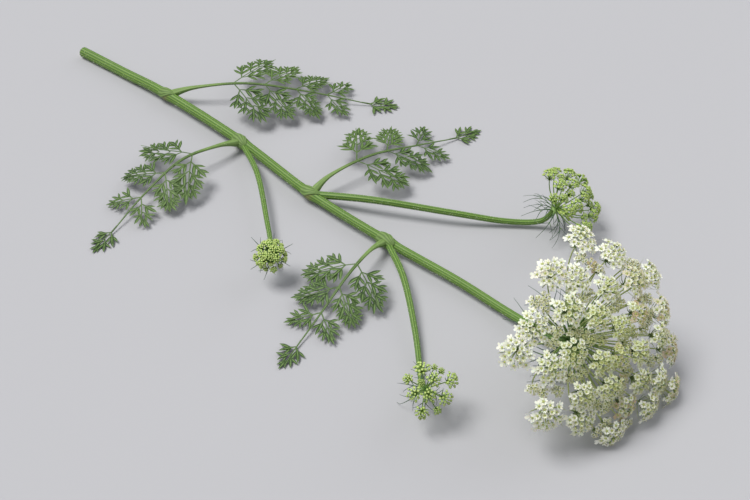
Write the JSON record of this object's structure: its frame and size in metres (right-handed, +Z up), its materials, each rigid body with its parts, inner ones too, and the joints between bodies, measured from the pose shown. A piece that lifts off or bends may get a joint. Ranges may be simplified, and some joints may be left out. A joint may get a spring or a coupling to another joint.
{
  "type": "queen annes lace flower",
  "caption": "Cut stem of Queen Anne's lace lying down: an open cream umbel, younger green umbels on side shoots, whorls of thread-like bracts and finely cut leaves.",
  "frame": {"origin": "centre of the bounding box in plan, on the surface that the flower lies on", "axes": "+X along the stem from its cut end to its open umbel, +Y to the left of it, +Z up"},
  "size_m": [0.4317, 0.2177, 0.0729],
  "materials": {
    "stem": "fresh green stem, ribbed and finely hairy",
    "leaf": "fresh dark green leaf, matt",
    "petal": "cream-white petals on pale green stalks, matt",
    "bud": "lime-green buds, matt",
    "bract": "blue-green thread-like bracts, matt"
  },
  "bodies": {
    "root": {"stem": "stem", "leaf_1": "leaf", "leaf_2": "leaf", "leaf_3": "leaf", "leaf_4": "leaf", "bloom": "petal", "green_umbel": "bud", "small_umbel": "bud", "bud_umbel": "bud", "bloom_involucre": "bract", "green_involucre": "bract", "small_involucre": "bract", "bud_involucre": "bract"}
  },
  "joints": []
}
